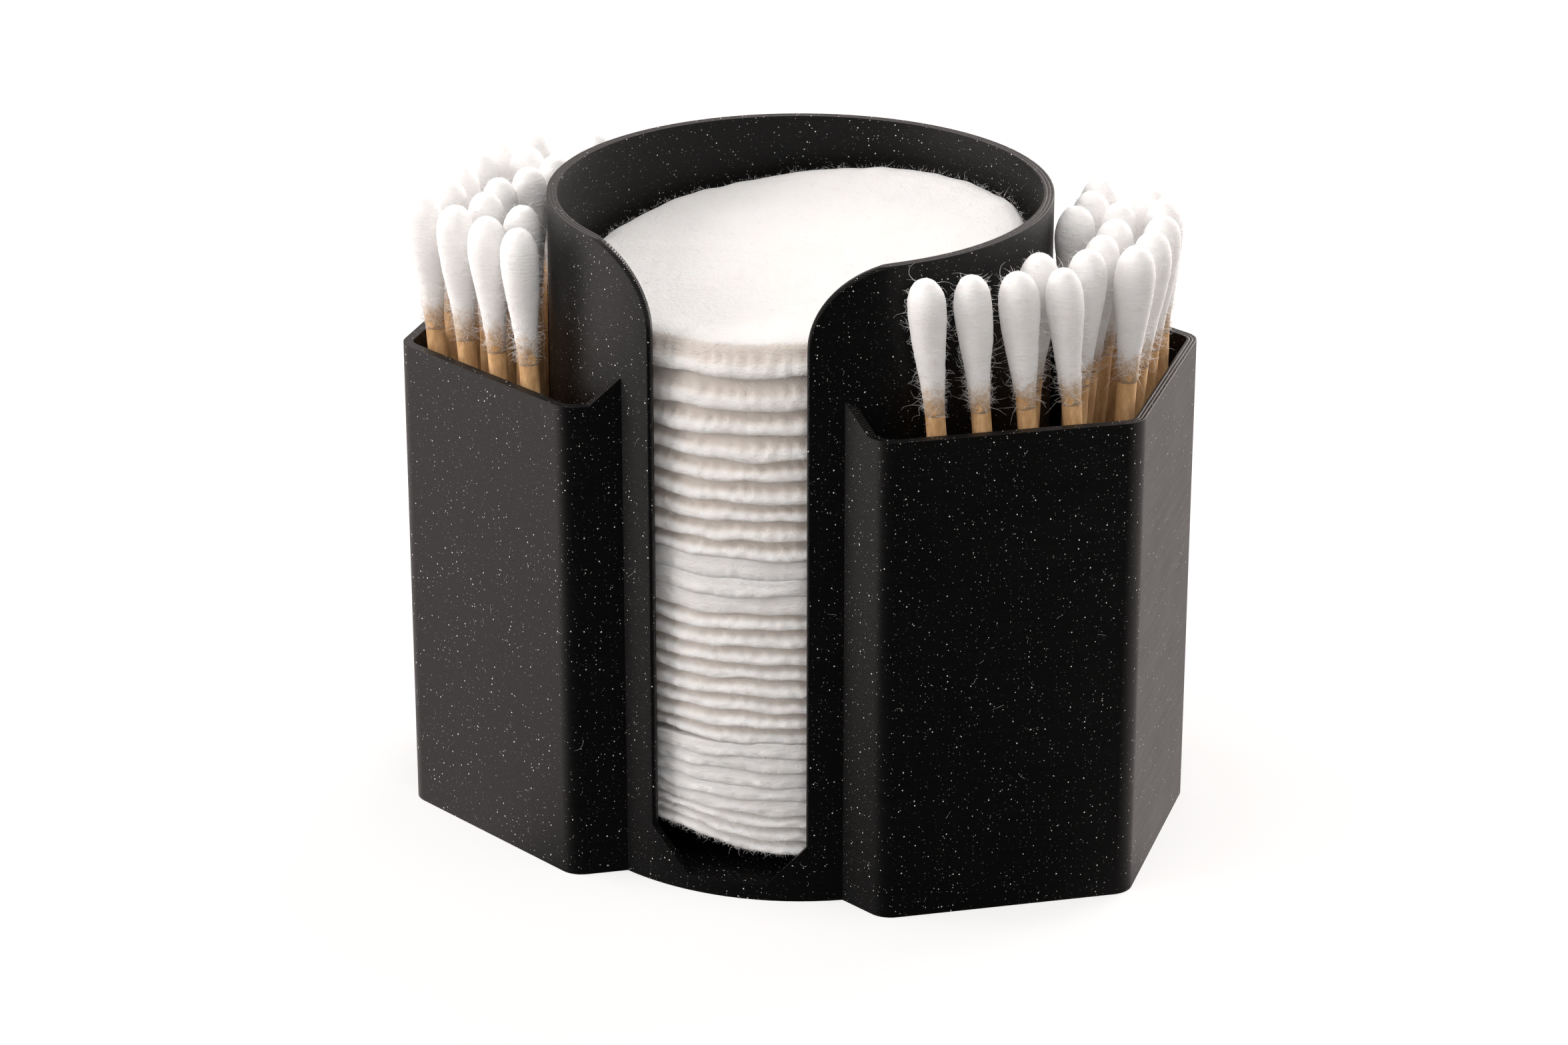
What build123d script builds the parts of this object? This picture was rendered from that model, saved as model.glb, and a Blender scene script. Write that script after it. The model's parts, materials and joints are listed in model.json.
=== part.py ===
from build123d import *
from itertools import pairwise
from math import atan2, cos, degrees, floor, pi, radians, sin, sqrt, tan
import os

# A counter-top holder, printed in one piece, loaded with cotton pads and cotton swabs.
# Millimetres, +Z up, the origin on the tube's axis at the underside, the pad slot towards -Y.

# Printed holder: the tube in the middle
tube_diameter = 60.0
tube_height = 79.0
wall = 1.2
floor_thickness = 2.0

# Printed holder: a hexagonal cup on each side of the tube
cup_room = 14.25
cup_corner_overhang = 0.2
cup_height = 60.0
cup_edge_radius = 3.0
cup_sides = 6
fin_rise = 3.2
fin_run = 3.8

# Printed holder: the slot down the front of the tube
slot_width = 18.6
slot_sill_width = 9.6
slot_corner_rise = 4.9
slot_flare_radius = 10.0
slot_mouth_width = 33.4
slot_edge_radius = 0.4

# Cotton pads
pad_count = 28
pad_side_clearance = 0.3
pad_pressed_thickness = 1.55
pad_thickness_gain = 0.9
pad_loose_gain = 1.7
pad_loose_power = 12
pad_gap = 0.2
top_pad_gap = 0.35
pad_edge_share = 0.4
pad_lean_angle = 5.5
pad_heading_angle = 53.0
pad_curl = 3.0
pad_curl_share = 0.5
pad_sides = 24
pads_pressed_together = 4

# Cotton swabs
swab_length = 76.0
stick_diameter = 2.3
stick_sides = 6
bud_diameter = 4.8
bud_neck_diameter = 2.8
bud_length = 15.0
bud_tip_cover = 1.5
bud_sides = 7
# the bud's outline, as shares of its radius and of its length, from the tip down to the neck
bud_tip_share = 0.30
bud_shoulder_share = 0.74
bud_shoulder_height_share = 0.07
bud_widest_height_share = 0.25
bud_waist_share = 0.55
bud_waist_height_share = 0.60
swab_gap = 0.25
standing_gap = 0.3

# How far each row of swabs leans along its own line, in degrees, away from the tube where positive.
# The first row of each cup stands behind its front wall.
right_row_leans = (-5.0, 2.5, 5.0, 4.5, 0.0, 1.5, 3.0)
left_row_leans = (5.5, 0.5, 4.0, 1.5, 0.5, 0.0, 2.0)

tube_radius = tube_diameter / 2
bore_radius = tube_radius - wall
# half the angle between two of a cup's corners, which is also the way its front wall runs from +X
half_turn = pi / cup_sides
# the cups' front and rear corners stand just proud of the tube, and the room is between it and the outer wall
cup_corner_distance = tube_radius + cup_corner_overhang
cup_flat_distance = cup_corner_distance * cos(half_turn)
cup_offset = tube_radius + cup_room + wall - cup_flat_distance
floor_top = floor_thickness
# the flare is an arc that starts upright at the slot's side and leaves the rim at the mouth's width
flare_overhang = (slot_width - slot_mouth_width) / 2 + slot_flare_radius
flare_start = tube_height - sqrt(slot_flare_radius**2 - flare_overhang**2)
# the tube is first made taller, and cut to its height once the slot's edges are rounded
uncut_height = flare_start + slot_flare_radius + wall

os.makedirs("parts", exist_ok=True)


def save(name, solids):
    """Write one node: a single solid, or a group of separate ones."""
    shape = solids[0] if len(solids) == 1 else Compound(children=solids)
    shape.label = name
    export_step(shape, f"parts/{name}.step")


# Printed holder
def hexagon_prism(flat_distance, edge_radius, bottom, top):
    """An upright hexagonal prism of the right cup, one flat towards +X, its edges rounded."""
    corner_distance = flat_distance / cos(half_turn)
    outline = RegularPolygon(corner_distance, cup_sides, rotation=degrees(half_turn))
    outline = fillet(outline.vertices(), edge_radius)
    return Pos(cup_offset, 0, bottom) * extrude(outline, top - bottom)


def upright(radius, bottom, top):
    """An upright cylinder on the tube's axis."""
    return Pos(0, 0, bottom) * extrude(Circle(radius), top - bottom)


def cup_fin():
    """The sloped web where the right cup's short front wall runs up into the tube."""
    corner = Vector(0, -cup_corner_distance)
    along_wall = Vector(-cos(half_turn), sin(half_turn))
    # where the wall's outer face meets the tube, measured along the wall from its front corner
    start = Vector(cup_offset, 0) + corner
    middle = start.dot(along_wall)
    reach = -middle - sqrt(middle**2 - start.dot(start) + tube_radius**2)
    foot = start + along_wall * reach
    inwards = (sin(half_turn), cos(half_turn), 0)
    side = Plane(origin=(foot.X, foot.Y, cup_height), x_dir=along_wall, z_dir=inwards)
    slope = [(-fin_run, 0), (0, fin_rise)]
    outline = Polyline((wall, -wall), (-fin_run, -wall), *slope, (wall, fin_rise), close=True)
    return extrude(side * make_face(outline), wall)


def slot_cutter():
    """The slot's outline seen from the front: cut corners at the sill, and a flared mouth."""
    half = slot_width / 2
    sill = (slot_sill_width / 2, floor_top)
    corner = (half, floor_top + slot_corner_rise)
    turn = (half, flare_start)
    crown = (half + slot_flare_radius, flare_start + slot_flare_radius)
    lid = (half + slot_flare_radius, uncut_height)
    right = Polyline((0, floor_top), sill, corner, turn)
    arc = RadiusArc(turn, crown, slot_flare_radius)
    rest = Polyline(crown, lid, (0, uncut_height), (0, floor_top))
    half_face = make_face([right, arc, rest])
    face = half_face + mirror(half_face, Plane.YZ)
    front = Plane(origin=(0, -bore_radius / 2, 0), x_dir=(1, 0, 0), z_dir=(0, -1, 0))
    return extrude(front * face, tube_radius)


def slot_edges(body):
    """The two upright edges on each side of the slot. Their rounding runs on up the flare."""
    return [
        edge
        for edge in body.edges().filter_by(Axis.Z)
        if abs(abs(edge.center().X) - slot_width / 2) < wall / 4
        and edge.center().Y < 0
        and edge.length > cup_height / 2
    ]


def make_holder():
    """The tube, its two cups, the shared floor and the slot, as the single printed piece they are."""
    cup = hexagon_prism(cup_flat_distance, cup_edge_radius, 0, cup_height)
    inner_edge_radius = max(cup_edge_radius - wall, wall / 4)
    hollow = hexagon_prism(cup_flat_distance - wall, inner_edge_radius, floor_top, uncut_height)
    tube = upright(tube_radius, 0, uncut_height)
    hollow = hollow - tube
    fin = cup_fin()
    fins = fin + mirror(fin, Plane.XZ)
    body = tube + cup + fins + mirror(cup + fins, Plane.YZ)
    body = body - hollow - mirror(hollow, Plane.YZ)
    body = body - upright(bore_radius, floor_top, uncut_height)
    body = body - slot_cutter()
    body = fillet(slot_edges(body), min(slot_edge_radius, wall / 3))
    body = body - upright(tube_diameter, tube_height, uncut_height + wall)
    return body.solid()


save("holder", [make_holder()])


# Cotton pads, from the pressed ones at the bottom to the loose one on top
def pad_thickness(index):
    share = index / (pad_count - 1)
    loose = pad_loose_gain * share**pad_loose_power
    return pad_pressed_thickness + pad_thickness_gain * share + loose


def faceted(profile, sides):
    """A solid of flat faces through regular rings, given as (corner radius, height) from the bottom up."""
    bands = []
    for (low_radius, low), (high_radius, high) in pairwise(profile):
        wide, narrow = max(low_radius, high_radius), min(low_radius, high_radius)
        taper = degrees(atan2((wide - narrow) * cos(pi / sides), high - low))
        band = extrude(RegularPolygon(wide, sides), high - low, taper=taper)
        if wide == low_radius:
            bands.append(Pos(0, 0, low) * band)
        else:
            bands.append(Pos(0, 0, high) * mirror(band, Plane.XY))
    return bands[0] + bands[1:]


def make_pad(index, height):
    """A round pad with a soft edge, leaning a little more the higher it lies. The lowest one curls up."""
    radius = bore_radius - pad_side_clearance
    half = pad_thickness(index) / 2
    face_radius = radius - pad_edge_share * 2 * half
    rings = [(face_radius, -half), (radius, 0), (face_radius, half)]
    if index == 0:
        rings.insert(0, (radius * pad_curl_share, -half - pad_curl))
    pad = faceted(rings, pad_sides)
    lean = pad_lean_angle * index / (pad_count - 1)
    heading = radians(pad_heading_angle)
    tilt_axis = Axis((0, 0, 0), (sin(heading), -cos(heading), 0))
    return Pos(0, 0, height) * pad.rotate(tilt_axis, lean)


pads = []
height = floor_top + standing_gap + pad_curl + pad_thickness(0) / 2
for index in range(pad_count):
    pads.append(make_pad(index, height).solid())
    if index < pad_count - 1:
        gap = top_pad_gap if index == pad_count - 2 else pad_gap
        height += (pad_thickness(index) + pad_thickness(index + 1)) / 2 + gap

save("pads_pressed", pads[:pads_pressed_together])
for number in range(pads_pressed_together + 1, pad_count):
    save(f"pad_{number:02d}", [pads[number - 1]])
save("pad_top", [pads[-1]])


# Cotton swabs: a paper stick with a bud wound on each end
def make_swab():
    """One swab standing on the origin, as its stick and its two buds."""
    radius = bud_diameter / 2
    neck = bud_neck_diameter / 2
    stick_radius = stick_diameter / 2
    stick_length = swab_length - 2 * bud_tip_cover
    stick = Pos(0, 0, bud_tip_cover) * extrude(RegularPolygon(stick_radius, stick_sides), stick_length)
    waist = neck + bud_waist_share * (radius - neck)
    profile = [
        (bud_tip_share * radius, 0),
        (bud_shoulder_share * radius, bud_shoulder_height_share * bud_length),
        (radius, bud_widest_height_share * bud_length),
        (waist, bud_waist_height_share * bud_length),
        (neck, bud_length),
    ]
    bud = faceted(profile, bud_sides)
    low_bud = (bud - stick).solid()
    high_bud = Pos(0, 0, swab_length) * low_bud.mirror(Plane.XY)
    return [stick.solid(), low_bud, high_bud.solid()]


# rows of swabs run along each cup's front wall, a bud and a gap apart
clearance = bud_diameter / 2 + swab_gap
row_pitch = bud_diameter + swab_gap
row_reach = cup_flat_distance - wall - clearance


def row_span(offset):
    """The first and last place for a swab's axis on the row this far behind the cup's centre."""
    # a row ends at the outer wall or at the rear one, and starts at the short wall or at the tube
    to_outer = (row_reach + offset * sin(half_turn)) / cos(half_turn)
    to_rear = (row_reach - offset * sin(half_turn)) / cos(half_turn)
    low, high = -to_outer, min(to_outer, to_rear)
    distance = offset - cup_offset * sin(half_turn)
    from_axis = tube_radius + clearance
    if abs(distance) < from_axis:
        low = max(low, sqrt(from_axis**2 - distance**2) - cup_offset * cos(half_turn))
    return low, high


def swab_lines(row_leans):
    """Each swab's foot and lean in the right cup: row by row from the front wall, then along the row."""
    lines = []
    for row, lean in enumerate(row_leans):
        offset = row * row_pitch - row_reach
        low, high = row_span(offset)
        top = cup_height if lean > 0 else tube_height
        shift = abs(tan(radians(lean))) * (top - floor_top)
        room = high - low - shift
        if room < 0:
            continue
        places = floor(room / row_pitch) + 1
        step = room / (places - 1) if places > 1 else 0
        start = low if lean > 0 else low + shift
        lines += [(start + place * step, offset, lean) for place in range(places)]
    return lines


def swab_axis(lean, side):
    """The way a swab points and slides, in the right cup (side 1) or in the left one (side -1)."""
    slope = sin(radians(lean))
    return Vector(side * slope * cos(half_turn), slope * sin(half_turn), cos(radians(lean)))


def place_swab(swab, along, offset, lean, side):
    """Stand a swab on its foot, on its row of the right cup (side 1) or of the left one (side -1)."""
    x = cup_offset + along * cos(half_turn) - offset * sin(half_turn)
    y = along * sin(half_turn) + offset * cos(half_turn)
    foot = Plane(origin=(side * x, y, floor_top + standing_gap), z_dir=swab_axis(lean, side))
    return [foot.location * solid for solid in swab]


swab = make_swab()
for side, side_name, row_leans in ((1, "right", right_row_leans), (-1, "left", left_row_leans)):
    for number, (along, offset, lean) in enumerate(swab_lines(row_leans), start=1):
        save(f"swab_{side_name}_{number:02d}", place_swab(swab, along, offset, lean, side))
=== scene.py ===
import json
import random
from math import atan2, cos, exp, hypot, pi, radians, sin, sqrt

import bmesh
import bpy
from mathutils import Matrix, Vector, noise


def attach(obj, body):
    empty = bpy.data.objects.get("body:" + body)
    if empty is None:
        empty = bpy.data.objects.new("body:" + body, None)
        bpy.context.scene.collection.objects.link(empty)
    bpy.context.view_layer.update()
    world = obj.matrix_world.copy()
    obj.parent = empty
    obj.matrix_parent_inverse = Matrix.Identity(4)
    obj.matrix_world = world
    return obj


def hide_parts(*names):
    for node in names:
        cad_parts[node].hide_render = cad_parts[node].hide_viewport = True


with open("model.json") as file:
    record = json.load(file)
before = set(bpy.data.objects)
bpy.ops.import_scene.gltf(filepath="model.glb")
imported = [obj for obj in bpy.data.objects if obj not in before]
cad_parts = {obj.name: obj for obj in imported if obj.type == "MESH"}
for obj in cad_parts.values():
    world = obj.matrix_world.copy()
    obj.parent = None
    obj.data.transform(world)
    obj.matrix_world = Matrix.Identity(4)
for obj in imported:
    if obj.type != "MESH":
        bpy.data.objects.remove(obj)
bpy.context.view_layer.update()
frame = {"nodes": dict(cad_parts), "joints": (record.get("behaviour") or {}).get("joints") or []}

# The studio: a white table and backdrop, a broad lamp above, one on the left and one behind on the right. The
# sides of the holder catch their light, and its front stays nearly black, because the room on the camera's
# side is dim. The camera stands a little to the right of the slot and looks down on the holder.
scene = bpy.context.scene
scene.view_settings.view_transform = "Standard"


class Value:
    """A number that varies over a surface, so that shader maths reads as plain arithmetic."""

    def __init__(self, nodes, socket):
        self.nodes = nodes
        self.socket = socket

    def maths(self, operation, *others):
        """This number and the others through a Math node."""
        numbers = dict(enumerate((self, *others)))
        return self.nodes.number("Math", {"operation": operation}, numbers, 0)

    def __add__(self, other):
        return self.maths("ADD", other)

    def __sub__(self, other):
        return self.maths("SUBTRACT", other)

    def __rsub__(self, other):
        return (self * -1).maths("ADD", other)

    def __mul__(self, other):
        return self.maths("MULTIPLY", other)

    __radd__ = __add__
    __rmul__ = __mul__

    def between(self, low, high):
        """0 up to low, 1 from high on, and a smooth rise in between."""
        settings = {"interpolation_type": "SMOOTHSTEP"}
        sockets = {"Value": self, "From Min": low, "From Max": high}
        return self.nodes.number("MapRange", settings, sockets, 0)


class Nodes:
    """The nodes of a material or of the world."""

    def __init__(self, owner):
        owner.use_nodes = True
        self.tree = owner.node_tree

    def feed(self, socket, value):
        """Link a value, or set a constant."""
        if isinstance(value, Value):
            value = value.socket
        if isinstance(value, bpy.types.NodeSocket):
            self.tree.links.new(value, socket)
        else:
            socket.default_value = value

    def add(self, kind, settings, sockets):
        """A node of this kind, its settings first, and then its sockets by name or by place."""
        node = self.tree.nodes.new("ShaderNode" + kind)
        for name, value in settings.items():
            setattr(node, name, value)
        for name, value in sockets.items():
            self.feed(node.inputs[name], value)
        return node

    def number(self, kind, settings, sockets, output):
        """The number that such a node gives."""
        return Value(self, self.add(kind, settings, sockets).outputs[output])

    def seen_directly(self):
        """1 where the camera sees the surface itself or through glass, and 0 for the light that it gives."""
        camera_ray = self.number("LightPath", {}, {}, "Is Camera Ray")
        glass_ray = self.number("LightPath", {}, {}, "Is Transmission Ray")
        return camera_ray.maths("MAXIMUM", glass_ray)

    def glossy(self):
        """1 for what is seen in a reflection."""
        return self.number("LightPath", {}, {}, "Is Glossy Ray")

    def light(self, kind, color, strength):
        """A Background for the world or an Emission for a surface."""
        return self.add(kind, {}, {"Color": (*color, 1), "Strength": strength}).outputs[0]

    def mix(self, share, first, second):
        """One shader turning into another."""
        return self.add("MixShader", {}, {0: share, 1: first, 2: second}).outputs[0]


def put_in_scene(name, data):
    """Make an object of this data and link it into the scene."""
    thing = bpy.data.objects.new(name, data)
    scene.collection.objects.link(thing)
    return thing


def make_piece(name, shapes):
    """Join these bmeshes, which are used up, into one object."""
    mesh = bpy.data.meshes.new(name)
    joined = bmesh.new()
    for shape in shapes:
        shape.to_mesh(mesh)
        shape.free()
        joined.from_mesh(mesh)
    joined.to_mesh(mesh)
    joined.free()
    return put_in_scene(name, mesh)


def aim(thing, place, target):
    """Stand a camera or a lamp at a place, looking at a target."""
    thing.location = place
    thing.rotation_euler = (Vector(target) - Vector(place)).to_track_quat("-Z", "Y").to_euler()


focal_length = 105.1
film_width = 36
camera_place = (0.14914, -0.49351, 0.24763)
camera_target = (-0.00203, 0, 0.03608)
lamp_target = (0, 0, 0.04)

lens = bpy.data.cameras.new("camera")
lens.lens = focal_length
lens.sensor_width = film_width
camera = put_in_scene("camera", lens)
aim(camera, camera_place, camera_target)
scene.camera = camera

for lamp_name, place, size, power, tint in (
    ("lamp_above", (0.02, -0.28, 0.94), (0.8, 0.8), 4.7, (1, 0.98, 0.97)),
    ("lamp_left", (-0.80, -0.26, 0.28), (0.9, 0.6), 8.0, (1, 0.94, 0.915)),
    ("lamp_behind_right", (0.40, 0.85, 0.28), (0.75, 0.5), 13.0, (1, 0.93, 0.90)),
):
    lamp = bpy.data.lights.new(lamp_name, "AREA")
    lamp.shape = "RECTANGLE"
    lamp.size, lamp.size_y = size
    lamp.energy = power
    lamp.color = tint
    aim(put_in_scene(lamp_name, lamp), place, lamp_target)

plain_white = (1, 1, 1)
warm_white = (1, 0.90, 0.87)
soft_white = (1, 0.98, 0.97)
room_heading = radians(-75)
room_begins, room_filled = 0.25, 0.75


def seen_as(nodes, coordinate, own, dark, warm, white):
    """White to the camera, warm in reflections, dark in those that look into the room, else its own light."""
    away = nodes.add("TexCoord", {}, {}).outputs[coordinate]
    heading = nodes.add("VectorMath", {"operation": "NORMALIZE"}, {0: away}).outputs[0]
    to_room = (cos(room_heading), sin(room_heading), 0)
    turned = nodes.number("VectorMath", {"operation": "DOT_PRODUCT"}, {0: heading, 1: to_room}, "Value")
    reflected = nodes.mix(turned.between(room_begins, room_filled), warm, dark)
    return nodes.mix(nodes.seen_directly(), nodes.mix(nodes.glossy(), own, reflected), white)


world = bpy.data.worlds.new("studio")
scene.world = world
studio = Nodes(world)
studio_look = seen_as(
    studio, "Generated",
    own=studio.light("Background", soft_white, 0.50),
    dark=studio.light("Background", plain_white, 0.02),
    warm=studio.light("Background", warm_white, 1.0),
    white=studio.light("Background", plain_white, 1.0),
)
studio.feed(studio.tree.nodes["World Output"].inputs[0], studio_look)

table_width = 8.0
table_shape = bmesh.new()
bmesh.ops.create_grid(table_shape, x_segments=1, y_segments=1, size=table_width / 2)
table = make_piece("table", [table_shape])
table_white = bpy.data.materials.new("table_white")
table_paint = Nodes(table_white)
paper = table_paint.add("BsdfDiffuse", {}, {"Color": (0.33, 0.32, 0.31, 1)}).outputs[0]
glow = table_paint.light("Emission", plain_white, 0.66)
table_look = seen_as(
    table_paint, "Object",
    own=paper,
    dark=table_paint.light("Emission", plain_white, 0.05),
    warm=table_paint.light("Emission", warm_white, 1.0),
    white=table_paint.add("AddShader", {}, {0: paper, 1: glow}).outputs[0],
)
table_paint.feed(table_paint.tree.nodes["Material Output"].inputs[0], table_look)
table.data.materials.append(table_white)

# The holder: one black print, standing as it was printed. Every wall is three 0.4 mm tracks wide and built
# up in 0.2 mm layers, which show as fine lines on the walls, as rings on the rims and as steps on the flare.
# The plastic is matte black with silver flakes in it.
mm = 0.001
track_width = 0.4 * mm
layer_height = 0.2 * mm
tube_radius = 30 * mm
tube_height = 79 * mm
cup_height = 60 * mm
floor_top = 2 * mm
cup_corner_distance = 30.2 * mm
cup_flat_distance = cup_corner_distance * cos(pi / 6)
holder_half_width = 45.45 * mm
cup_offset = holder_half_width - cup_flat_distance
cup_edge_radius = 3 * mm
sharp_from = radians(28)


class Finish(Nodes):
    """A material: its shader's constants, and the nodes that vary it over the surface."""

    def __init__(self, name, constants):
        self.material = bpy.data.materials.new(name)
        super().__init__(self.material)
        self.shader = self.tree.nodes["Principled BSDF"]
        for socket, value in constants.items():
            self.shader.inputs[socket].default_value = value

    def place(self, stretch=(1, 1, 1)):
        """The point on the piece, in the frame, stretched along each axis."""
        point = self.add("TexCoord", {}, {}).outputs["Object"]
        if stretch == (1, 1, 1):
            return point
        return self.add("Mapping", {}, {"Vector": point, "Scale": stretch}).outputs[0]

    def axis(self, name):
        """The X, Y or Z of that point."""
        return self.number("SeparateXYZ", {}, {"Vector": self.place()}, name)

    def attribute(self, name):
        """A number that the mesh holds."""
        return self.number("Attribute", {"attribute_name": name}, {}, "Fac")

    def clouds(self, scale, detail=2.0, stretch=(1, 1, 1), roughness=0.5, distortion=0.0):
        """Smooth noise from 0 to 1."""
        sockets = {
            "Vector": self.place(stretch), "Scale": scale, "Detail": detail,
            "Roughness": roughness, "Distortion": distortion,
        }
        return self.number("TexNoise", {}, sockets, "Fac")

    def blend(self, share, first, second):
        """One colour turning into another."""
        return self.add("Mix", {"data_type": "RGBA"}, {0: share, 6: first, 7: second}).outputs[2]

    def vary(self, sockets):
        """Feed the shader what changes over the surface."""
        for name, value in sockets.items():
            self.feed(self.shader.inputs[name], value)

    def relief(self, height, depth):
        """Bump from a height of 0 to 1, this deep in metres."""
        bump = self.add("Bump", {}, {"Strength": 1.0, "Distance": depth, "Height": height})
        self.vary({"Normal": bump.outputs[0]})


def paint(piece, finish):
    """Give a piece its one material."""
    piece.data.materials.clear()
    piece.data.materials.append(finish.material)


def from_outside(x, y):
    """How far a point on a rim lies inside the outlines of the tube and of its cup."""
    from_tube = tube_radius - hypot(x, y)
    along, across = abs(x) - cup_offset, abs(y)
    straight = cup_flat_distance - cup_edge_radius
    # a cup's outline is a smaller hexagon grown by the radius of its edges
    beyond_sides = [along * cos(turn) + across * sin(turn) - straight for turn in (0, pi / 3, 2 * pi / 3, pi)]
    second, first = sorted(beyond_sides)[-2:]
    beyond = first
    if second > first / 2 > 0:
        beyond = sqrt(first * first + second * second - first * second) / sin(pi / 3)
    return from_tube, cup_edge_radius - beyond


def make_holder_print():
    """The printed body: the CAD's own shape with its flat triangles joined, sharp edges kept.

    Every level face learns how far its corners lie from the outline that its tracks follow. On the floor the
    tracks run diagonally.
    """
    shape = bmesh.new()
    shape.from_mesh(frame["nodes"]["holder"].data)
    bmesh.ops.remove_doubles(shape, verts=shape.verts, dist=0.001 * mm)
    bmesh.ops.dissolve_limit(shape, angle_limit=radians(0.3), verts=shape.verts, edges=shape.edges)
    bmesh.ops.triangulate(shape, faces=[face for face in shape.faces if len(face.verts) > 4])
    track = shape.loops.layers.float.new("track")
    for face in shape.faces:
        face.smooth = True
        if face.normal.z <= 0.99:
            continue
        middle = face.calc_center_median()
        for corner in face.loops:
            x, y = corner.vert.co.xy
            if middle.z < cup_height / 2:
                corner[track] = (x + y) / sqrt(2)
            else:
                tube, cup = from_outside(x, y)
                corner[track] = tube if middle.z > cup_height + mm else cup
    for edge in shape.edges:
        edge.smooth = len(edge.link_faces) == 2 and edge.calc_face_angle() < sharp_from
    body = make_piece("holder_print", [shape])
    attributes = body.data.attributes
    if "custom_normal" in attributes:
        attributes.remove(attributes["custom_normal"])
    return body


def black_print():
    """Matte black plastic with layer lines, track lines and silver flakes of three sizes."""
    finish = Finish("black_print", {"Specular IOR Level": 0.26})
    height = finish.axis("Z")
    facing = finish.add("NewGeometry", {}, {}).outputs["Normal"]
    upwards = finish.number("SeparateXYZ", {}, {"Vector": facing}, "Z").maths("ABSOLUTE")
    # the layers' steps show most on the flare, where the surface is neither upright nor level
    slope = upwards * (1 - upwards) * 4
    layers = (height * (pi / layer_height)).maths("SINE").maths("ABSOLUTE")
    tracks = (finish.attribute("track") * (pi / track_width)).maths("SINE").maths("ABSOLUTE")
    uneven = finish.clouds(2500, detail=1, stretch=(0.03, 0.03, 1))
    worn = finish.clouds(160, detail=3)
    glint = 0
    for spacing, radius, chance, strength in (
        (0.85 * mm, 0.09 * mm, 0.75, 3.0),
        (0.50 * mm, 0.065 * mm, 0.80, 1.3),
        (0.32 * mm, 0.045 * mm, 0.80, 0.5),
    ):
        sockets = {"Vector": finish.place(), "Scale": 1 / spacing, "Randomness": 1.0}
        flakes = finish.add("TexVoronoi", {"feature": "F1"}, sockets)
        draws = finish.add("SeparateColor", {}, {"Color": flakes.outputs["Color"]})
        present = Value(finish, draws.outputs[0]).maths("LESS_THAN", chance)
        shine = Value(finish, draws.outputs[1])
        edge = radius / spacing
        near = 1 - Value(finish, flakes.outputs["Distance"]).between(edge * 0.6, edge)
        glint = near * present * (shine * shine * strength) + glint
    glint = glint.maths("MINIMUM", 1.0)
    ground = finish.blend(worn * 0.5 + uneven * 0.5, (0.0012, 0.0012, 0.0012, 1), (0.0036, 0.0034, 0.0034, 1))
    finish.vary({
        "Base Color": finish.blend(glint, ground, (0.95, 0.94, 0.92, 1)),
        "Roughness": 0.42 + (worn - 0.5) * 0.1 + (uneven - 0.5) * 0.1,
    })
    beads = layers * (1 + slope * 8) * 0.3 + tracks + uneven * 0.25 + worn * 0.15
    finish.relief(beads, 0.045 * mm)
    return finish


holder_print = make_holder_print()
paint(holder_print, black_print())
weighted = holder_print.modifiers.new("even_shading", "WEIGHTED_NORMAL")
weighted.keep_sharp = True
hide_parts("holder")
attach(holder_print, "holder")

# The cotton pads: round, stamped from a soft web, so each has an uneven edge that ends in a thin lip at its
# underside, and a crimp of small dents above it. The lower ones are pressed flat by the rest, and the loose
# top one lies tilted up at the back right.
pad_count = 28
pads_pressed_together = 4
pad_radius = 28.25 * mm
bore_radius = 28.8 * mm
slot_half_width = 9.3 * mm
pad_lean = radians(5.5)
pad_heading = radians(53)
pad_curl = 3 * mm
pad_steps = 400
soft_edge = 8 * mm
dent_count = 104
gape = 0.55 * mm
top_rise = 1.3 * mm
top_rise_heading = radians(15)
pad_fibre_radius = 0.017 * mm
edge_fibres = 150
lowest_edge_fibres = 500
top_edge_fibres = 1500
top_face_fibres = 420
smooth_pads = (3, 4, 5, 6, 7, 16, 17, 18)
gaping_pad = 8
loose_pad = 19


def pad_thickness(index):
    """The lowest pads are pressed thin, and the last few at the top keep their loft."""
    share = index / (pad_count - 1)
    return (1.55 + 0.9 * share + 1.7 * share**12) * mm


def pad_heights():
    """The height of each pad's middle, stacked from the floor."""
    heights = [floor_top + 0.3 * mm + pad_curl + pad_thickness(0) / 2]
    for index in range(1, pad_count):
        gap = 0.35 * mm if index == pad_count - 1 else 0.2 * mm
        heights.append(heights[-1] + (pad_thickness(index - 1) + pad_thickness(index)) / 2 + gap)
    return heights


def wander(*place):
    """Smooth noise from -1 to 1."""
    return noise.noise(Vector(place))


def within(share):
    """The share, held between 0 and 1."""
    return max(0.0, min(1.0, share))


def ease(share):
    """0 up to 0, 1 from 1 on, and a smooth rise in between."""
    share = within(share)
    return share * share * (3 - 2 * share)


def left_of_slot(x):
    """0 in the middle and on the right, 1 on the left."""
    return ease((0.25 - x) / 0.6)


def crimp_depth(index):
    """How deep this pad's edge is crimped: little in the smooth ones, most in the loose ones on top."""
    if index in smooth_pads:
        return 0.22
    if index < gaping_pad:
        return 0.65
    return 1.0 if index < loose_pad else 1.35


def pad_wave(level, x, y):
    """How the joint under this pad of the stack rises and falls round the edge.

    The lowest joints rise on the left.
    """
    wave = 0.45 * wander(x * 3.2, y * 3.2, level * 7.3) + 0.32 * wander(x * 8, y * 8, level * 4.1)
    return (wave + left_of_slot(x) * max(0.0, 2.1 - 0.42 * level)) * mm


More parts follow.
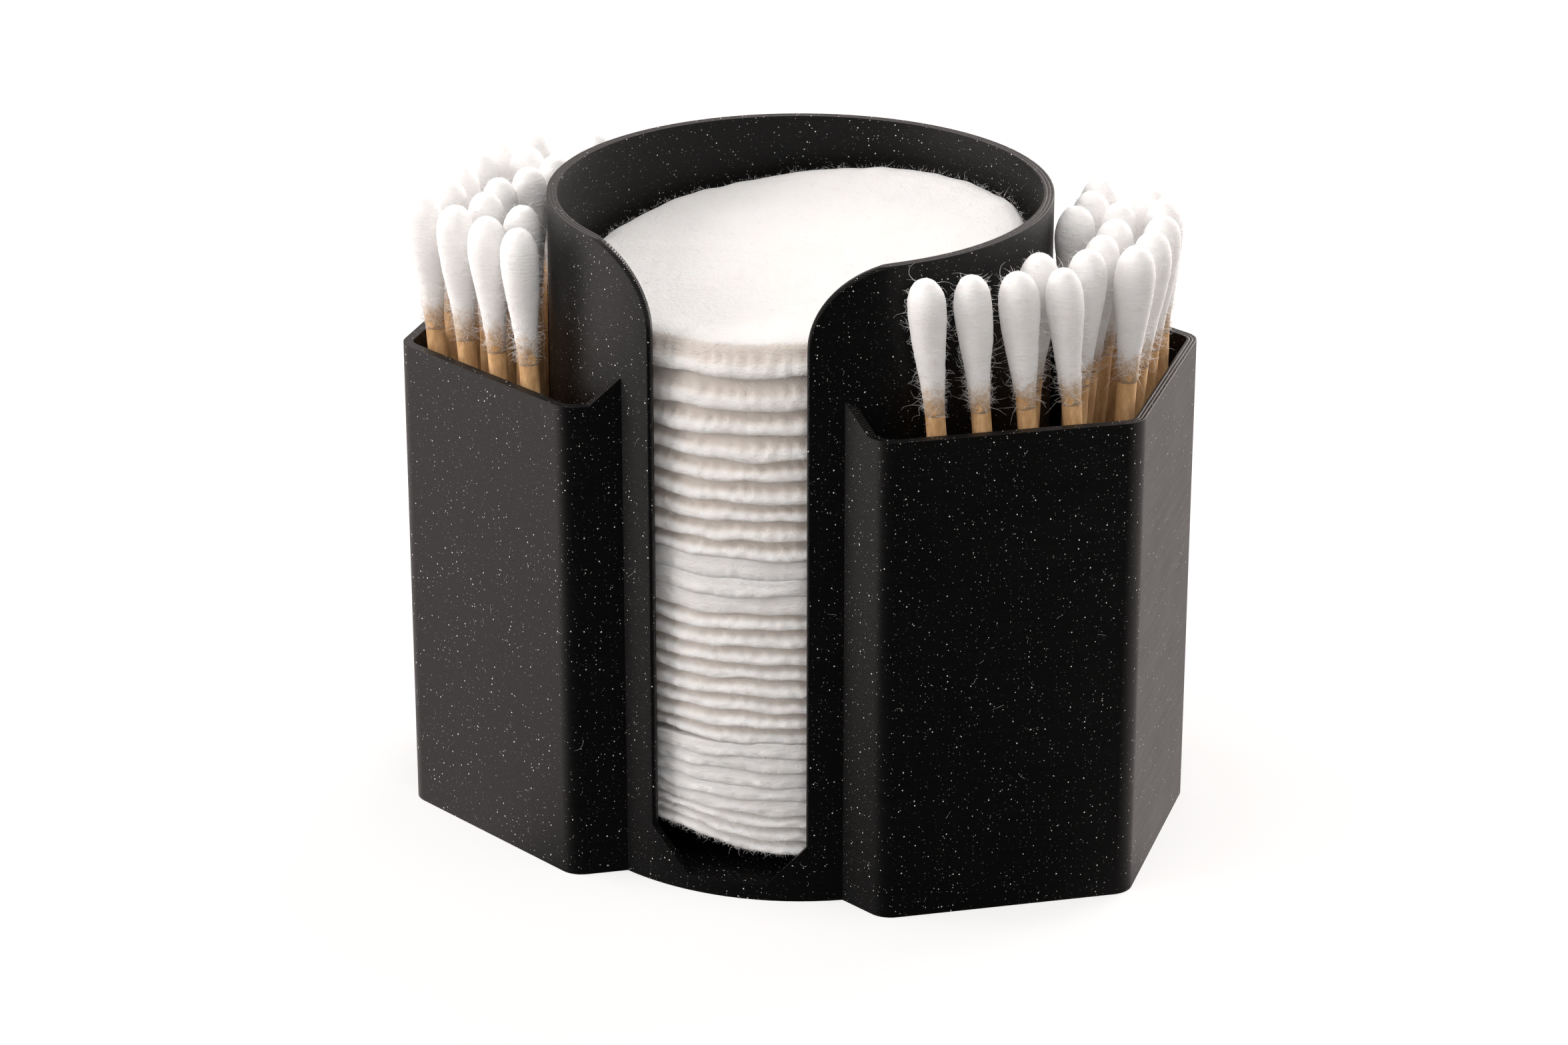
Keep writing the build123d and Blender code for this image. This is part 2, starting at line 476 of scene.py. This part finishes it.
def draw_fibres(fibres, radius):
    """One mesh of thin tubes, each following its list of points and thinning to its end."""
    line = bpy.data.curves.new("fibres", "CURVE")
    line.dimensions = "3D"
    line.bevel_depth = radius
    line.bevel_resolution = 0
    line.use_fill_caps = True
    for points in fibres:
        spline = line.splines.new("POLY")
        spline.points.add(len(points) - 1)
        for number, (place, point) in enumerate(zip(points, spline.points)):
            point.co = (*place, 1)
            point.radius = 1 - 0.7 * number / (len(points) - 1)
    drawn = put_in_scene("fibres", line)
    mesh = bpy.data.meshes.new_from_object(drawn)
    bpy.data.objects.remove(drawn)
    bpy.data.curves.remove(line)
    return mesh


def add_fibres(shape, fibres, radius):
    """Draw fibres into a bmesh."""
    mesh = draw_fibres(fibres, radius)
    shape.from_mesh(mesh)
    bpy.data.meshes.remove(mesh)


def curly_fibre(chance, root, outwards, length, curl, steps):
    """The points of one loose fibre, which leaves its root outwards and curls at random."""
    heading = Vector(outwards).normalized()
    axis = Vector((chance.gauss(0, 1), chance.gauss(0, 1), chance.gauss(0, 1))).normalized()
    turn = chance.gauss(0, curl) / steps
    points = [Vector(root)]
    for _ in range(steps):
        heading = Matrix.Rotation(turn + chance.gauss(0, 0.2), 3, axis) @ heading
        points.append(points[-1] + heading * (length / steps))
    return points


def spin_round(outline, steps):
    """A closed round bmesh, from an outline of radius and height that starts and ends on the axis."""
    shape = bmesh.new()
    row = [shape.verts.new((radius, 0, height)) for radius, height in outline]
    edges = [shape.edges.new(pair) for pair in zip(row, row[1:])]
    bmesh.ops.spin(
        shape, geom=row + edges, cent=(0, 0, 0), axis=(0, 0, 1), angle=2 * pi, steps=steps, use_merge=True,
    )
    bmesh.ops.remove_doubles(shape, verts=shape.verts, dist=0.01 * mm)
    bmesh.ops.recalc_face_normals(shape, faces=shape.faces)
    return shape


def pad_outline(half, depth, top):
    """The pad's radius and height, from the middle of its upper face to the middle of its lower one.

    A band is how far in each point lies, in millimetres, and its height, as a share of half the thickness.
    """
    if top:
        band = [
            (3.6, 1.0), (2.3, 0.97), (1.3, 0.86), (0.9, 0.66), (0.78, 0.4), (0.68, 0.12), (0.5, -0.12),
            (0.22, -0.34), (0.06, -0.56), (0, -0.78), (0.06, -0.96), (0.4, -1.04), (1.6, -1.02),
        ]
    else:
        band = [
            (3.4, 1.0), (2.2, 0.99), (1.4, 0.95), (1.0, 0.82), (0.86, 0.58), (0.76, 0.32), (0.58, 0.08),
            (0.3, -0.12), (0.12, -0.34), (0.04, -0.56), (0, -0.80), (0.05, -1.0), (0.35, -1.12), (1.4, -1.08),
        ]
    flat = [pad_radius * share for share in (0, 0.35, 0.62, 0.8)]
    edge = [(pad_radius - inset * depth * mm, level * half) for inset, level in band]
    return [(radius, half) for radius in flat] + edge + [(radius, -half) for radius in reversed(flat)]


def make_pad(index, height):
    """One pad's soft disc as a new bmesh, with the fibres of its edge."""
    chance = random.Random(100 + index)
    half = pad_thickness(index) / 2
    top = index == pad_count - 1
    lip = pad_radius
    depth = crimp_depth(index)
    shape = spin_round(pad_outline(half, depth, top), pad_steps)

    def settle(point):
        """Move a point of the even disc to where the soft one has it.

        Noise is read round the edge, from broad waves to single tufts, and grows the lip, draws in the crimp
        above it and lifts both. It fades out over the soft edge, so that the disc stays flat in its middle.
        """
        x, y, z = point
        radius = hypot(x, y)
        if radius < 0.5 * mm:
            return Vector(point)
        round_x, round_y = x / radius, y / radius
        reach = ease((radius - lip + soft_edge) / soft_edge)
        rise = within((z / half + 1) / 2)
        at_lip = exp(-(((z + half * 0.7) / (half * 0.45)) ** 2)) * reach
        at_band = exp(-(((z + half * 0.02) / (half * 0.3)) ** 2)) * reach * depth
        middle = wander(round_x * 9, round_y * 9, index * 5.1 + 40)
        fine = wander(round_x * 30, round_y * 30, index * 3.7 + 80)
        finest = wander(round_x * 70, round_y * 70, index * 2.3 + 11)
        dents = sin(atan2(y, x) * dent_count + 3 * wander(round_x * 6, round_y * 6, index + 20.5))
        grow = reach * 0.22 * wander(round_x * 3.2, round_y * 3.2, index * 9.7)
        grow += at_lip * (0.22 * middle + 0.26 * fine + 0.14 * finest)
        grow -= at_band * ((0.13 + 0.13 * middle) * dents + 0.16 * fine + 0.05 * finest)
        # the pads' left edges are drawn in a little where they rub against the side of the slot
        if round_y < 0:
            grow -= reach * 0.5 * within((-0.16 - round_x) / 0.16)
        lift = (1 - rise) * pad_wave(index, round_x, round_y) + rise * pad_wave(index + 1, round_x, round_y)
        lift = lift * reach + at_lip * (0.10 * fine + 0.06 * finest) * mm
        if index in (gaping_pad, gaping_pad - 1) and round_y < 0:
            part = 1 - rise if index == gaping_pad else -rise
            lift += part * reach * left_of_slot(round_x + 0.15) * gape
        if top:
            tilt = atan2(y, x) - top_rise_heading
            clear_of_slot = ease((round_y + 0.95) / 0.55)
            lift += top_rise * cos(tilt) * (radius / lip) ** 1.6 * rise * (0.3 + 0.7 * clear_of_slot)
            puff = wander(x * 110, y * 110, 3.3) + 0.5 * wander(x * 330, y * 330, 8.8)
            lift += 0.20 * puff * rise * mm
        if index == 0:
            lift -= pad_curl * max(0.0, 1 - radius / (0.93 * lip)) ** 0.7 * (1 - rise)
        limit = bore_radius - 0.08 * mm
        if y < 0 and abs(x) < slot_half_width:
            limit = bore_radius + 0.4 * mm
        radius = min(radius + grow * mm, limit)
        return Vector((round_x * radius, round_y * radius, z + lift))

    # painted shade: the recess of the crimp, just inside the lip, is tinted beige in the cotton's colour,
    # standing in for the shade that falls there
    painted_crimp_shade = shape.verts.layers.float.new("painted_crimp_shade")
    for vert in shape.verts:
        drawn_in = (lip - hypot(vert.co.x, vert.co.y)) / mm
        vert[painted_crimp_shade] = depth * max(0.0, 1 - abs(drawn_in - 0.95) / 0.9) * (vert.co.z > -half * 0.8)
        vert.co = settle(vert.co)
    # the top pad has fibres all round, the others in the slot, where they can be seen
    fibres = []
    for _ in range(top_edge_fibres if top else lowest_edge_fibres if index == 0 else edge_fibres):
        turn = chance.uniform(0, 2 * pi) if top and chance.random() < 0.8 else chance.gauss(-pi / 2, 0.21)
        round_x, round_y = cos(turn), sin(turn)
        low = chance.random() < (0.4 if top else 0.85)
        radius, z = (lip, -half * 0.82) if low else (lip - 1.3 * mm, half * 0.8)
        root = settle((radius * round_x, radius * round_y, z + chance.uniform(-0.08, 0.08) * half))
        side = chance.gauss(0, 1.2)
        rise = chance.gauss(0.9, 0.7) if top and not low else chance.gauss(0, 0.35)
        outwards = (round_x - side * round_y, round_y + side * round_x, rise)
        in_slot = round_y < 0 and abs(round_x) < 0.3
        length = min(1.6, chance.lognormvariate(-0.65, 0.45)) * mm
        fibre = curly_fibre(chance, root, outwards, length, 2.6, 4)
        if in_slot or max(hypot(point.x, point.y) for point in fibre) < bore_radius - 0.05 * mm:
            fibres.append(fibre)
    if top:
        for _ in range(top_face_fibres):
            turn, radius = chance.uniform(0, 2 * pi), lip * sqrt(chance.random()) * 0.92
            root = settle((radius * cos(turn), radius * sin(turn), half))
            way = chance.uniform(0, 2 * pi)
            fibres.append(curly_fibre(chance, root, (cos(way), sin(way), 0.15), 1.2 * mm, 2.0, 4))
    add_fibres(shape, fibres, pad_fibre_radius)
    lean = pad_lean * index / (pad_count - 1)
    axis = Vector((sin(pad_heading), -cos(pad_heading), 0))
    place = Matrix.Translation((0, 0, height)) @ Matrix.Rotation(lean, 4, axis)
    bmesh.ops.transform(shape, matrix=place, verts=shape.verts)
    for face in shape.faces:
        face.smooth = True
    return shape


def pad_cotton():
    """Bleached cotton web: white, soft, with a wispy grain round the edge, and beige painted shade in the
    crimp's recess.
    """
    finish = Finish("pad_cotton", {
        "Roughness": 1.0, "Specular IOR Level": 0.1, "Sheen Weight": 0.2, "Sheen Roughness": 0.6,
        "Subsurface Weight": 0.45, "Subsurface Radius": (1, 0.8, 0.65), "Subsurface Scale": 1.8 * mm,
    })
    wisps = finish.clouds(420, detail=5, stretch=(1, 1, 3.2), roughness=0.62, distortion=0.8)
    grain = finish.clouds(2300, detail=3, stretch=(1, 1, 1.8), roughness=0.62)
    shade = finish.clouds(120, detail=2, stretch=(1, 1, 3))
    soft = finish.blend(shade, (0.825, 0.80, 0.78, 1), (0.865, 0.85, 0.84, 1))
    # thin wisps take the beige as the web's own tone; the crimp's share of it is painted shade in the recess
    tint_share = wisps.between(0.58, 0.8) * 0.3 + finish.attribute("painted_crimp_shade").between(0, 1.1) * 0.85
    finish.vary({"Base Color": finish.blend(tint_share, soft, (0.73, 0.66, 0.60, 1))})
    finish.relief(wisps * 0.6 + grain * 0.4, 0.34 * mm)
    return finish


cotton_web = pad_cotton()
heights = pad_heights()
pad_groups = [("pads_pressed", range(pads_pressed_together))]
pad_groups += [(f"pad_{index + 1:02d}", [index]) for index in range(pads_pressed_together, pad_count - 1)]
pad_groups.append(("pad_top", [pad_count - 1]))
for node, indexes in pad_groups:
    pad = make_piece(node + "_cotton", (make_pad(index, heights[index]) for index in indexes))
    paint(pad, cotton_web)
    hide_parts(node)
    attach(pad, "top_pad" if node == "pad_top" else "pad_stack")

# The cotton swabs: a stick of tightly rolled brown paper, with cotton wound on each end. A bud is widest
# near its tip and thins out to a tan fuzz where the stick shows through. Fibres stand off it all round.
swab_length = 76 * mm
stick_radius = 1.15 * mm
stick_cover = 1.8 * mm
bud_radius = 2.38 * mm
bud_length = 16.4 * mm
bud_neck = 1.165 * mm
bud_widest = 4.2 * mm
bud_fray = 12.4 * mm
bud_steps = 32
bud_rings = 36
stick_steps = 24
bud_fibre_radius = 0.02 * mm
upper_bud_fibres = 520
lower_bud_fibres = 60


def bud_outline(reach):
    """The bud's radius at a distance from its tip."""
    if reach < bud_widest:
        return bud_radius * sqrt(max(0.0, 1 - (1 - reach / bud_widest) ** 2.6))
    share = (reach - bud_widest) / (bud_length - bud_widest)
    narrowed = 0.4 * share + 0.6 * (0.5 - 0.5 * cos(pi * share**0.92))
    return bud_radius + (bud_neck - bud_radius) * narrowed


def make_bud(chance, seed, fibre_count):
    """One bud as a new bmesh, its tip on the origin and its neck up the Z axis."""
    outline = [(0.0, 0.0)]
    for ring in range(1, bud_rings + 1):
        reach = bud_length * (ring / bud_rings) ** 1.4
        outline.append((bud_outline(reach), reach))
    end = bud_length + 0.1 * mm
    outline += [(stick_radius * 0.9, end), (0.0, end)]
    shape = spin_round(outline, bud_steps)
    thick = chance.uniform(0.93, 1.0)
    for vert in shape.verts:
        x, y, z = vert.co
        radius = hypot(x, y)
        if radius < 0.1 * mm or z > bud_length:
            continue
        lumps = wander(x * 420 + seed, y * 420, z * 200)
        winding = wander(x * 260, y * 260 + seed, z * 2000)
        uneven = (0.13 * lumps + 0.05 * winding) * mm * min(1.0, radius / mm - 0.7)
        radius_now = radius * (thick if radius > 1.4 * mm else 1) + uneven
        # the cotton's end dips into the paper in tatters
        frayed = max(0.0, (z - bud_fray) / (bud_length - bud_fray))
        radius_now -= frayed * (0.07 + 0.20 * wander(x * 900, y * 900 + seed, z * 350)) * mm
        vert.co.x, vert.co.y = x / radius * radius_now, y / radius * radius_now
    # every fourth fibre is long and loose, and every third stands near the neck
    fibres = []
    for number in range(fibre_count):
        loose = number % 4 == 0
        reach = bud_length * (chance.random() if number % 3 else chance.uniform(0.7, 0.97))
        turn = chance.uniform(0, 2 * pi)
        radius = bud_outline(reach) * 0.97
        side = chance.gauss(0, 1.3)
        outwards = (cos(turn) - side * sin(turn), sin(turn) + side * cos(turn), chance.gauss(-0.1, 0.7))
        root = (radius * cos(turn), radius * sin(turn), reach)
        length = min(3.4, chance.lognormvariate(0.35 if loose else -0.55, 0.4)) * mm
        fibres.append(curly_fibre(chance, root, outwards, length, 4.5 if loose else 2.0, 7 if loose else 3))
    # the distance from the tip, which the tan of the neck follows; the fibres stay white
    along = shape.verts.layers.float.new("along")
    for vert in shape.verts:
        vert[along] = vert.co.z
    add_fibres(shape, fibres, bud_fibre_radius)
    for face in shape.faces:
        face.smooth = True
    return shape


def bud_cotton():
    """Wound cotton: white with faint turns across it, and a tan fuzz over the paper at its neck."""
    finish = Finish("bud_cotton", {
        "Roughness": 1.0, "Specular IOR Level": 0.1, "Sheen Weight": 0.3, "Sheen Roughness": 0.6,
        "Subsurface Weight": 0.4, "Subsurface Radius": (1, 0.85, 0.75), "Subsurface Scale": 1.0 * mm,
    })
    turns = finish.clouds(700, detail=4, stretch=(1, 1, 5), roughness=0.6, distortion=0.3)
    grain = finish.clouds(3600, detail=3, roughness=0.6)
    patches = finish.clouds(1100, detail=4, roughness=0.7)
    tint_share = (finish.attribute("along") + (patches - 0.5) * (6 * mm)).between(12.0 * mm, 15.6 * mm)
    white = finish.blend(turns.between(0.45, 0.75) * 0.35, (0.93, 0.915, 0.905, 1), (0.83, 0.80, 0.78, 1))
    finish.vary({"Base Color": finish.blend(tint_share * 0.95, white, (0.55, 0.35, 0.185, 1))})
    finish.relief(turns * 0.6 + grain * 0.4, 0.16 * mm)
    return finish


def rolled_paper():
    """Brown kraft paper, rolled tight: mottled along the stick, with darker flecks."""
    finish = Finish("rolled_paper", {"Roughness": 0.75, "Specular IOR Level": 0.25})
    mottle = finish.clouds(1300, detail=4, stretch=(1, 1, 0.3), roughness=0.65)
    flecks = finish.clouds(5200, detail=2, stretch=(1, 1, 0.5))
    tan = finish.blend(mottle.between(0.35, 0.7), (0.42, 0.235, 0.10, 1), (0.60, 0.37, 0.18, 1))
    finish.vary({"Base Color": finish.blend(flecks.between(0.60, 0.75) * 0.5, tan, (0.25, 0.14, 0.06, 1))})
    finish.relief(mottle * 0.5 + flecks * 0.5, 0.03 * mm)
    return finish


lift_lines = {joint["child"]: joint["axis"] for joint in frame["joints"]}


def stand_swab(node):
    """The placing of a swab: its CAD solids' middle, and the line of the joint that lifts it."""
    corners = {tuple(round(value, 7) for value in vert.co) for vert in frame["nodes"][node].data.vertices}
    middle = sum((Vector(corner) for corner in corners), Vector()) / len(corners)
    turn = Vector((0, 0, 1)).rotation_difference(Vector(lift_lines[node])).to_matrix().to_4x4()
    return Matrix.Translation(middle) @ turn @ Matrix.Translation((0, 0, -swab_length / 2))


wound_cotton = bud_cotton()
kraft_paper = rolled_paper()
swab_nodes = sorted(node for node in frame["nodes"] if node.startswith("swab_"))
for seed, node in enumerate(swab_nodes):
    chance = random.Random(500 + seed)
    place = stand_swab(node)
    stick_shape = bmesh.new()
    bmesh.ops.create_cone(
        stick_shape, cap_ends=True, segments=stick_steps, radius1=stick_radius, radius2=stick_radius,
        depth=swab_length - 2 * stick_cover,
    )
    middle = place @ Matrix.Translation((0, 0, swab_length / 2))
    bmesh.ops.transform(stick_shape, matrix=middle, verts=stick_shape.verts)
    for face in stick_shape.faces:
        face.smooth = len(face.verts) == 4
    stick = make_piece(node + "_stick", [stick_shape])
    paint(stick, kraft_paper)
    upside_down = Matrix.Translation((0, 0, swab_length)) @ Matrix.Rotation(pi, 4, "X")
    buds = []
    for stand, fibre_count in ((Matrix(), lower_bud_fibres), (upside_down, upper_bud_fibres)):
        bud = make_bud(chance, chance.uniform(0, 50), fibre_count)
        bmesh.ops.transform(bud, matrix=place @ stand, verts=bud.verts)
        buds.append(bud)
    cotton = make_piece(node + "_buds", buds)
    paint(cotton, wound_cotton)
    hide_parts(node)
    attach(cotton, node)
    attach(stick, node)

# Stray cotton: single fibres that have come off the pads and swabs and cling to the print, on its rims, on
# its front and on the floor just inside the slot.
stray_count = 90
stray_fibre_radius = 0.014 * mm


def in_view(spot, normal):
    """On a rim, on the holder's front or on the floor just inside the slot."""
    on_rim = normal.z > 0.9 and spot.z > cup_height - mm
    on_front = normal.y < -0.3 and -29.5 * mm < spot.y < -9 * mm
    in_slot = normal.z > 0.9 and spot.z < 3 * mm and spot.y < -21 * mm and abs(spot.x) < 12 * mm
    return on_rim or on_front or in_slot


def clinging_fibre(chance, spot, normal):
    """A short curled fibre that lies nearly flat on the print, just clear of it."""
    way = normal.cross(Vector((chance.gauss(0, 1), chance.gauss(0, 1), chance.gauss(0, 1))))
    length = min(2.4, chance.lognormvariate(-0.1, 0.5)) * mm
    points = curly_fibre(chance, spot, way, length, 3.5, 6)
    flat = [point - normal * (normal.dot(point - spot) * 0.85 - 0.03 * mm) for point in points]
    return [Vector((point.x, point.y, min(point.z, tube_height))) for point in flat]


chance = random.Random(7)
print_faces = list(holder_print.data.polygons)
face_areas = [face.area for face in print_faces]
clinging = []
while len(clinging) < stray_count:
    face = chance.choices(print_faces, weights=face_areas)[0]
    corners = [holder_print.data.vertices[number].co for number in face.vertices]
    shares = [chance.random() for _ in corners]
    spot = sum((corner * share for corner, share in zip(corners, shares)), Vector()) / sum(shares)
    if in_view(spot, face.normal):
        clinging.append(clinging_fibre(chance, spot, face.normal))
stray_cotton = put_in_scene("stray_cotton", draw_fibres(clinging, stray_fibre_radius))
paint(stray_cotton, wound_cotton)
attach(stray_cotton, "holder")
